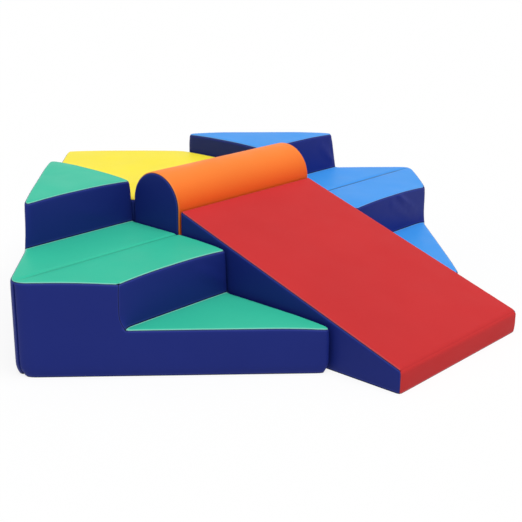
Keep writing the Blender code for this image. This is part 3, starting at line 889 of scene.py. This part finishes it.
def folded_tread(name, rear, front, side):
    """The cover over both middle treads, which turns over the fold, and the fold's place."""
    fold = (rear.rim[3].y + front.rim[3].y) / 2
    loop = [rear.rim[0], rear.rim[1], rear.rim[2], front.rim[2], front.rim[1], front.rim[0]]
    if side > 0:
        loop = loop[::-1]
    crease = [Vector((corner.x, fold, corner.z)) for corner in rear.rim[2:]]
    moved = []
    for block in (rear, front):
        points, placed, triangles, edge = block.face_points("both", loop, crease=crease)
        moved.append(placed)
    share = smooth((fold + FOLD_BLEND - points[:, 1:2]) / (2 * FOLD_BLEND))
    placed = moved[0] * (1 - share) + moved[1] * share
    mesh = seamed_mesh(name, [(placed, triangles, edge)])
    # fold_line marks where the vinyl paints shade along the crease
    line = mesh.attributes.new("fold_line", "FLOAT", "POINT")
    for vertex, point in zip(mesh.vertices, line.data):
        away, along = abs(vertex.co.y - fold), abs(vertex.co.x - crease[0].x)
        point.value = crease_share(away, along, FOLD_LINE_RUN, FOLD_LINE_FADE)
    return mesh, fold


# Each pleat's start and end in X and Z, its width and its height
PLEATS = {
    "green_front": {"riser": [((-0.485, 0.268), (-0.36, 0.19), 0.013, 0.004)]},
    "green_rear": {"riser": [((-0.62, 0.40), (-0.45, 0.34), 0.016, 0.002)]},
    "blue_front": {"riser": [((0.61, 0.298), (0.745, 0.205), 0.010, 0.008),
                             ((0.56, 0.272), (0.70, 0.195), 0.010, 0.006)]},
    "blue_rear": {"riser": [((0.69, 0.42), (0.79, 0.33), 0.012, 0.005),
                            ((0.79, 0.43), (0.785, 0.33), 0.008, 0.003)]},
}


def add_stair(colour, side):
    seed = SEEDS[colour]
    rear, front = (stair_block(colour, side, end, seed + end) for end in (1, -1))
    for block in (rear, front):
        block.pleats = PLEATS[block.name]
        walls = ["riser", "inner", "outer", "fold"]
        add_panel(block, block.name + "_side_cover", walls, "navy_vinyl")
        add_panel(block, block.name + "_base_cover", ["base"], "base_vinyl")
        add_panel(block, block.tread, ["far"], colour + "_vinyl")
    for end in (1, -1):
        core = stair_block(colour, side, end, seed + end, FOAM_INSET)
        add_foam(core.name, core.foam_parts())
    name = colour + "_folded_tread_vinyl"
    mesh, fold = folded_tread(name, rear, front, side)
    piece = thickened(name, mesh)
    nodes = [rear.name + "_middle_tread", front.name + "_middle_tread", colour + "_fold_tape"]
    dress(piece, colour + "_vinyl", None, COVER_FILL, *nodes)
    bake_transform(piece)


# Platform and slide

def upright_block(name, walls, top, radii, soft=(), seams=()):
    """A block with vertical walls, given anticlockwise, and one top face."""
    base = Plane((0, 0, -1), 0.0)
    names = list(walls)
    planes = list(walls.values())
    count = len(planes)
    lower = [meeting(planes[i - 1], planes[i], base) for i in range(count)]
    upper = [meeting(planes[i - 1], planes[i], top) for i in range(count)]
    faces = {"base": lower[::-1], "top": upper}
    for i, wall in enumerate(names):
        j = (i + 1) % count
        faces[wall] = [lower[i], lower[j], upper[j], upper[i]]
    posts = [corner_post(lower[i], planes[i - 1], planes[i], radii[i], seam=i in seams)
             for i in range(count)]
    slab = Slab(top, planes, soft=[walls[n] for n in soft])
    return Block(name, faces, planes, [slab], posts, upper, SEEDS[name])


def platform_block(inset=0.0):
    cover = "platform_side_cover"
    normals = {"front": (0, -1, 0), "right": (1, 0, 0), "back_right": (1, 1, 0),
               "back_left": (-1, 1, 0), "left": (-1, 0, 0)}
    walls = {name: outer_plane(cover, normal).inset(inset) for name, normal in normals.items()}
    top = Plane((0, 0, 1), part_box("platform_top_tread")[1].z - inset)
    radii = [SQUARE_RADIUS, SQUARE_RADIUS, BLUNT_RADIUS, SQUARE_RADIUS, BLUNT_RADIUS]
    block = upright_block("platform", walls, top, radii)
    block.swells = dict.fromkeys(("front", "right", "left"), HIDDEN_SWELL)
    block.swells |= {"base": 0.0, "top": PLATFORM_SWELL}
    block.drop = PLATFORM_DROP
    return block


def add_platform():
    block = platform_block()
    walls = [name for name in block.faces if name not in ("top", "base")]
    add_panel(block, "platform_side_cover", walls, "navy_vinyl")
    add_panel(block, "platform_base_cover", ["base"], "base_vinyl")
    add_panel(block, "platform_top_tread", ["top"], "yellow_vinyl")
    add_foam("platform", platform_block(FOAM_INSET).foam_parts())


def slide_block(inset=0.0):
    walls = {
        "toe": outer_plane("slide_top_cover", (0, -1, 0)).inset(inset),
        "right": outer_plane("slide_right_side", (1, 0, 0)).inset(inset),
        "head": outer_plane("slide_head_cover", (0, 1, 0)).inset(inset),
        "left": outer_plane("slide_left_side", (-1, 0, 0)).inset(inset),
    }
    top = outer_plane("slide_top_cover", slope_normal("slide_top_cover")).inset(inset)
    radii = [SLIDE_CORNER_RADIUS] * len(walls)
    block = upright_block("slide", walls, top, radii, soft=["toe"], seams=range(len(walls)))
    block.turns = block.corners[:2]
    block.corners = []
    block.draws = [HEM_DRAW if wall is walls["head"] else SLIDE_HEM_DRAW for wall in block.walls]
    for post in block.posts:
        post.foot_draw = SLIDE_FOOT_DRAW
    block.swells = dict.fromkeys(("left", "right", "head"), HIDDEN_SWELL)
    block.swells |= {"base": 0.0, "top": SLIDE_SWELL}
    return block


def add_slide():
    block = slide_block()
    add_panel(block, "slide_top_cover", ["top", "toe"], "red_vinyl")
    add_panel(block, "slide_left_side", ["left"], "navy_vinyl")
    add_panel(block, "slide_right_side", ["right"], "navy_vinyl")
    add_panel(block, "slide_head_cover", ["head"], "navy_vinyl")
    add_panel(block, "slide_base_cover", ["base"], "base_vinyl")
    add_foam("slide", slide_block(FOAM_INSET).foam_parts())


# Arch bolster

class Arch:
    """The bolster's cover, swept along X, with its outline in the YZ plane."""

    def __init__(self, inset=0.0):
        low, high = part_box("arch_top_cover")
        self.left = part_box("arch_left_end")[0].x + inset
        self.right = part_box("arch_right_end")[1].x - inset
        self.radius = (high.y - low.y) / 2 - inset
        self.centre = (high.y + low.y) / 2
        self.spring = high.z - inset - self.radius
        self.inset = inset
        self.foot = max(inset, HEM_LIFT)
        half = (self.right - self.left) / 2
        far = np.linspace(EDGE_ROWS[-1] + SPACING, half, ARCH_SPAN_STEPS // 2)
        self.depths = [0.0, *EDGE_ROWS, *far]

    def outline(self, inset, foot):
        """Points of the outline at an inset, each with the direction in which it faces."""
        radius = max(self.radius - inset, ARCH_LEAST_RADIUS)
        legs = [foot + (self.spring - foot) * i / ARCH_LEG_STEPS for i in range(ARCH_LEG_STEPS)]
        points = [(self.centre + radius, z, 0.0) for z in legs]
        for i in range(ARCH_STEPS + 1):
            angle = math.pi * i / ARCH_STEPS
            y = self.centre + radius * math.cos(angle)
            points.append((y, self.spring + radius * math.sin(angle), angle))
        return points + [(self.centre - radius, z, math.pi) for z in reversed(legs)]

    def draw_in(self, z):
        """How far the hem is drawn in at a height."""
        return HEM_DRAW * max(1 - z / HEM_RUN, 0) ** 2

    def wrap(self):
        """The cover over the bolster, from leg to leg."""
        grid = []
        edges = self.depths + self.depths[-2::-1]
        for number, depth in enumerate(edges):
            sunk = float(edge_drop(depth, EDGE_RADIUS, SEAM_PINCH))
            along = depth + float(edge_slide(depth, EDGE_RADIUS, SEAM_PINCH))
            x = self.left + along if number < len(self.depths) else self.right - along
            calm = float(smooth(depth / SWELL_RUN))
            row = []
            for y, z, angle in self.outline(0.0, self.foot):
                rough = noise.noise(Vector((x, y, z)) * WAVE_SCALE + Vector(ARCH_NOISE_PLACE))
                inward = sunk - WAVE * rough * calm * math.sin(angle) + self.draw_in(z)
                foot = self.draw_in(z) * max(1 - depth / HEM_RUN, 0)
                turned = foot if number < len(self.depths) else -foot
                row.append((x + turned, y - inward * math.cos(angle), z - inward * math.sin(angle)))
            grid.append(row)
        return swept(grid, edges)

    def end(self, side):
        """One end, as rings of points that close in."""
        edge = self.right if side == 1 else self.left
        far = np.linspace(EDGE_ROWS[-1] + SPACING, self.radius - ARCH_LEAST_RADIUS, ARCH_END_RINGS)
        insets = [0.0, *EDGE_ROWS, *far]
        grid = []
        for inset in insets:
            sunk = float(edge_drop(inset, EDGE_RADIUS, SEAM_PINCH))
            slid = float(edge_slide(inset, EDGE_RADIUS, SEAM_PINCH))
            swell = WALL_SWELL * (1 - max(1 - inset / SWELL_RUN, 0) ** 2)
            row = []
            for y, z, angle in self.outline(inset + slid, self.foot + min(inset, self.spring / 2)):
                low = self.draw_in(z)
                near = max(1 - inset / HEM_RUN, 0)
                x = edge - side * (sunk + low - swell)
                row.append((x, y - low * near * math.cos(angle), z))
            grid.append(row)
        return swept(grid, insets, flip=side == -1, closed=True)

    def base(self):
        """The bottom, as a block with one face."""
        normals = [(0, -1, 0), (1, 0, 0), (0, 1, 0), (-1, 0, 0)]
        offsets = [self.radius - self.centre, self.right, self.radius + self.centre, -self.left]
        walls = [Plane(normal, offset) for normal, offset in zip(normals, offsets)]
        floor = Plane((0, 0, -1), -self.inset)
        loop = [meeting(walls[i - 1], walls[i], floor) for i in range(len(walls))]
        block = Block("arch", {"base": loop[::-1]}, walls, [], [], [], SEEDS["arch"])
        block.swells = {"base": 0.0}
        return block


def swept(grid, edges, flip=False, closed=False):
    """The points, faces and seam distances of rows of points. A closed one ends in a face."""
    width = len(grid[0])
    points = [p for row in grid for p in row]
    distances = [edge for edge in edges for _ in range(width)]
    faces = []
    for r in range(len(grid) - 1):
        for i in range(width if closed else width - 1):
            j = (i + 1) % width
            faces.append((r * width + i, r * width + j, (r + 1) * width + j, (r + 1) * width + i))
    if closed:
        faces.append(tuple(range((len(grid) - 1) * width, len(grid) * width)))
    if flip:
        faces = [face[::-1] for face in faces]
    return points, faces, distances


def add_arch():
    arch = Arch()
    name = "arch_top_cover_vinyl"
    cover = thickened(name, seamed_mesh(name, [arch.wrap()]))
    dress(cover, "orange_vinyl", "arch", COVER_FILL, "arch_top_cover")
    for node, side in (("arch_left_end", -1), ("arch_right_end", 1)):
        name = node + "_vinyl"
        cover = thickened(name, seamed_mesh(name, [arch.end(side)]))
        dress(cover, "navy_vinyl", "arch", COVER_FILL, node)
    add_panel(arch.base(), "arch_base_cover", ["base"], "base_vinyl")
    core = Arch(FOAM_INSET)
    add_foam("arch", [core.wrap(), core.end(-1), core.end(1), *core.base().foam_parts()])


def dress_frame():
    """Finishes for the frame's nodes that stay in view."""
    slots = {row["node"]: row["material_slot"] for row in frame["record"]["subparts"]}
    for name, node in frame["nodes"].items():
        node.data.materials.clear()
        node.data.materials.append(MATERIALS[slots[name]])


# Stage

def background_rays(nodes, links):
    """1 for camera, glossy and transmission rays, which see the white background."""
    rays = nodes.new("ShaderNodeLightPath").outputs
    seen = combined(nodes, links, "MAXIMUM", rays["Is Camera Ray"], rays["Is Glossy Ray"])
    return combined(nodes, links, "MAXIMUM", seen, rays["Is Transmission Ray"])


def show_mix(nodes, links, share, a, b, output):
    """Mixes two shaders by a share and gives them to the output."""
    mix = nodes.new("ShaderNodeMixShader")
    links.new(share, mix.inputs["Fac"])
    links.new(a, mix.inputs[1])
    links.new(b, mix.inputs[2])
    links.new(mix.outputs["Shader"], nodes[output].inputs["Surface"])


def add_floor():
    """A pale floor that keeps the shadow and glows to the white of the background."""
    bpy.ops.mesh.primitive_plane_add(size=FLOOR_SIZE, location=(0, 0, 0))
    floor = bpy.context.object
    floor.name = "floor"
    material, nodes, links, shader = new_material("floor")
    give(links, shader.inputs["Base Color"], (FLOOR_GREY, FLOOR_GREY, FLOOR_GREY))
    give(links, shader.inputs["Roughness"], FLOOR_ROUGHNESS)
    give(links, shader.inputs["Specular IOR Level"], 0.0)
    glow = nodes.new("ShaderNodeEmission")
    glow.inputs["Strength"].default_value = FLOOR_GLOW
    share = combined(nodes, links, "MULTIPLY", background_rays(nodes, links), FLOOR_GLOW_SHARE)
    grey, lit = shader.outputs["BSDF"], glow.outputs["Emission"]
    show_mix(nodes, links, share, grey, lit, "Material Output")
    floor.data.materials.append(material)


def add_world():
    """A soft white fill, behind which the camera sees plain white."""
    world = bpy.data.worlds.new("studio")
    bpy.context.scene.world = world
    world.use_nodes = True
    nodes, links = world.node_tree.nodes, world.node_tree.links
    fill = nodes["Background"]
    white = nodes.new("ShaderNodeBackground")
    for node in (fill, white):
        give(links, node.inputs["Color"], (1, 1, 1))
    fill.inputs["Strength"].default_value = FILL_STRENGTH
    share = background_rays(nodes, links)
    soft, plain = (node.outputs["Background"] for node in (fill, white))
    show_mix(nodes, links, share, soft, plain, "World Output")


def add_sun():
    lamp = bpy.data.lights.new("softbox", "SUN")
    lamp.energy = SUN_STRENGTH
    lamp.angle = SUN_SPREAD
    sun = add_object("softbox", lamp)
    sun.rotation_euler = Vector(SUN_DIRECTION).to_track_quat("-Z", "Y").to_euler()


def add_camera():
    data = bpy.data.cameras.new("camera")
    camera = add_object("camera", data)
    turn = Matrix.Rotation(CAMERA_YAW, 4, "Z") @ Matrix.Rotation(math.pi / 2 + CAMERA_PITCH, 4, "X")
    roll = Matrix.Rotation(CAMERA_ROLL, 4, "Z")
    camera.matrix_world = Matrix.Translation(CAMERA_PLACE) @ turn @ roll
    data.sensor_width = SENSOR_WIDTH
    data.lens = SENSOR_WIDTH * FOCAL_PIXELS / IMAGE_WIDTH
    bpy.context.scene.camera = camera


add_camera()
dress_frame()
add_platform()
add_arch()
add_slide()
add_stair("green", -1)
add_stair("blue", 1)
add_floor()
add_world()
add_sun()
bpy.context.scene.view_settings.view_transform = "Standard"
